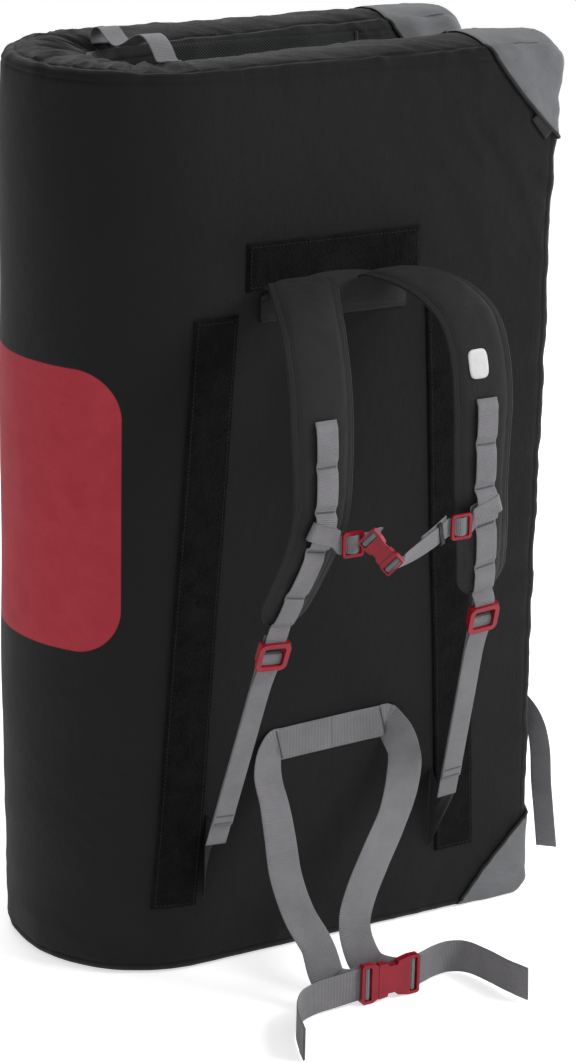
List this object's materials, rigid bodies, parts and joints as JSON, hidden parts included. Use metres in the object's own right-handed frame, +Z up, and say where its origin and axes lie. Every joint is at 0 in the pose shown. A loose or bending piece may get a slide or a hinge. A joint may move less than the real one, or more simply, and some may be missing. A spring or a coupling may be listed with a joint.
{
  "type": "bouldering crash pad",
  "caption": "Folding foam landing pad in a black and grey cover, shut and standing on its short side, with padded carrying straps, sternum strap, waist belt and buckled closing straps",
  "frame": {"origin": "On the floor, under the middle of the front (harness) half's bottom edge", "axes": "X runs along the folded width, from the fold (-X) to the open end (+X). -Y points out of the harness face, +Y towards the back half. Z is up, along the pad's height as it stands"},
  "size_m": [0.6338, 0.5503, 1.032],
  "materials": {
    "black_cover": "matte black coated woven polyester",
    "landing_cover": "matte black woven polyester, slightly smoother",
    "grey_cover": "mid grey hard-wearing coated cloth",
    "hook_strip": "very dark fibrous hook-and-loop",
    "webbing": "grey ribbed polyester webbing",
    "padding": "black padded cloth with bound edges",
    "hardware": "satin red moulded plastic",
    "open_foam": "pale open-cell foam",
    "closed_foam": "dark closed-cell foam",
    "mesh": "fine black mesh"
  },
  "bodies": {
    "front_half": {"adjuster_webbing_left": "webbing", "adjuster_webbing_right": "webbing", "anchor_wing_left": "padding", "anchor_wing_right": "padding", "belt_webbing": "webbing", "closure_webbing_lower": "webbing", "closure_webbing_upper": "webbing", "daisy_webbing_left": "webbing", "daisy_webbing_right": "webbing", "front_base_foam": "closed_foam", "front_bottom_boot": "grey_cover", "front_core_foam": "open_foam", "front_gusset": "black_cover", "front_landing_foam": "closed_foam", "front_landing_panel": "landing_cover", "front_outer_panel": "black_cover", "front_top_boot": "grey_cover", "hook_strip_left": "hook_strip", "hook_strip_right": "hook_strip", "hook_strip_top": "hook_strip", "ladder_lock_left": "hardware", "ladder_lock_right": "hardware", "shoulder_pad_left": "padding", "shoulder_pad_right": "padding", "sternum_glide_left": "hardware", "sternum_glide_right": "hardware", "sternum_socket": "hardware", "sternum_webbing_left": "webbing", "sternum_webbing_right": "webbing", "waist_socket": "hardware", "yoke_panel": "padding"},
    "fold_1": {"fold_segment_1": "black_cover", "grab_handle": "webbing", "hook_strip_left_edge": "hook_strip"},
    "fold_2": {"fold_segment_2": "black_cover"},
    "fold_3": {"fold_segment_3": "black_cover"},
    "fold_4": {"fold_segment_4": "black_cover"},
    "fold_5": {"fold_segment_5": "black_cover"},
    "fold_6": {"fold_segment_6": "black_cover"},
    "back_half": {"back_base_foam": "closed_foam", "back_bottom_boot": "grey_cover", "back_core_foam": "open_foam", "back_gusset": "black_cover", "back_landing_foam": "closed_foam", "back_landing_panel": "landing_cover", "back_outer_panel": "black_cover", "back_top_boot": "grey_cover", "closure_loop_lower": "webbing", "closure_loop_upper": "webbing", "closure_socket_lower": "hardware", "closure_socket_upper": "hardware", "mesh_vent": "mesh"},
    "sternum_plug": {"sternum_plug": "hardware", "sternum_webbing_plug": "webbing"},
    "waist_plug": {"waist_plug": "hardware", "belt_tail_left": "webbing"},
    "closure_plug_upper": {"closure_plug_upper": "hardware", "closure_tail_upper": "webbing"},
    "closure_plug_lower": {"closure_plug_lower": "hardware", "closure_tail_lower": "webbing"}
  },
  "joints": [
    {"name": "fold_hinge_1", "type": "hinge", "parent": "front_half", "child": "fold_1", "pos_m": [-0.13969, -0.0553, 0], "axis": [0, 0, 1], "range_deg": [0, 15]},
    {"name": "fold_hinge_2", "type": "hinge", "parent": "fold_1", "child": "fold_2", "pos_m": [-0.21734, -0.03449, 0], "axis": [0, 0, 1], "range_deg": [0, 30]},
    {"name": "fold_hinge_3", "type": "hinge", "parent": "fold_2", "child": "fold_3", "pos_m": [-0.27418, 0.02235, 0], "axis": [0, 0, 1], "range_deg": [0, 30]},
    {"name": "fold_hinge_4", "type": "hinge", "parent": "fold_3", "child": "fold_4", "pos_m": [-0.29499, 0.1, 0], "axis": [0, 0, 1], "range_deg": [0, 30]},
    {"name": "fold_hinge_5", "type": "hinge", "parent": "fold_4", "child": "fold_5", "pos_m": [-0.27418, 0.17765, 0], "axis": [0, 0, 1], "range_deg": [0, 30]},
    {"name": "fold_hinge_6", "type": "hinge", "parent": "fold_5", "child": "fold_6", "pos_m": [-0.21734, 0.23449, 0], "axis": [0, 0, 1], "range_deg": [0, 30]},
    {"name": "fold_hinge_7", "type": "hinge", "parent": "fold_6", "child": "back_half", "pos_m": [-0.13969, 0.2553, 0], "axis": [0, 0, 1], "range_deg": [0, 15]},
    {"name": "sternum_release", "type": "slide", "parent": "front_half", "child": "sternum_plug", "axis": [0.4497, -0.5796, -0.6796], "range_m": [0, 0.026]},
    {"name": "waist_release", "type": "slide", "parent": "front_half", "child": "waist_plug", "axis": [-1, 0, 0], "range_m": [0, 0.04]},
    {"name": "closure_release_upper", "type": "slide", "parent": "front_half", "child": "closure_plug_upper", "axis": [0, -1, 0], "range_m": [0, 0.025]},
    {"name": "closure_release_lower", "type": "slide", "parent": "front_half", "child": "closure_plug_lower", "axis": [0, -1, 0], "range_m": [0, 0.025]}
  ],
  "couplings": [
    {"joint": "fold_hinge_2", "follows": "fold_hinge_1", "ratio": 2},
    {"joint": "fold_hinge_3", "follows": "fold_hinge_1", "ratio": 2},
    {"joint": "fold_hinge_4", "follows": "fold_hinge_1", "ratio": 2},
    {"joint": "fold_hinge_5", "follows": "fold_hinge_1", "ratio": 2},
    {"joint": "fold_hinge_6", "follows": "fold_hinge_1", "ratio": 2},
    {"joint": "fold_hinge_7", "follows": "fold_hinge_1", "ratio": 1}
  ]
}
